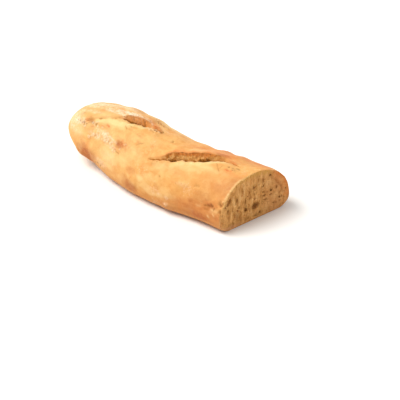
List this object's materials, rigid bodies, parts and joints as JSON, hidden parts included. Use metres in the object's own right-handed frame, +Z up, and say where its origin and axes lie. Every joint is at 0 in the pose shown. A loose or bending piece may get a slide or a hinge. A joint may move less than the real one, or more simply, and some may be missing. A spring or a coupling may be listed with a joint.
{
  "type": "baguette",
  "caption": "Long end of a crusty white bread loaf with a rounded tip, opened slashes on top, a flat underside and an oblique knife cut showing the crumb.",
  "frame": {"origin": "centre of the loaf's footprint box, on the surface it lies on", "axes": "+X along the loaf from its rounded tip to the knife cut, +Y across it to the side behind the ears, +Z up"},
  "size_m": [0.214, 0.0866, 0.0555],
  "materials": {
    "crust": "baked crust: golden brown, dull with a faint sheen, paler where the slashes opened, with a cream crumb on the cut"
  },
  "bodies": {
    "root": {"loaf": "crust"}
  },
  "joints": []
}
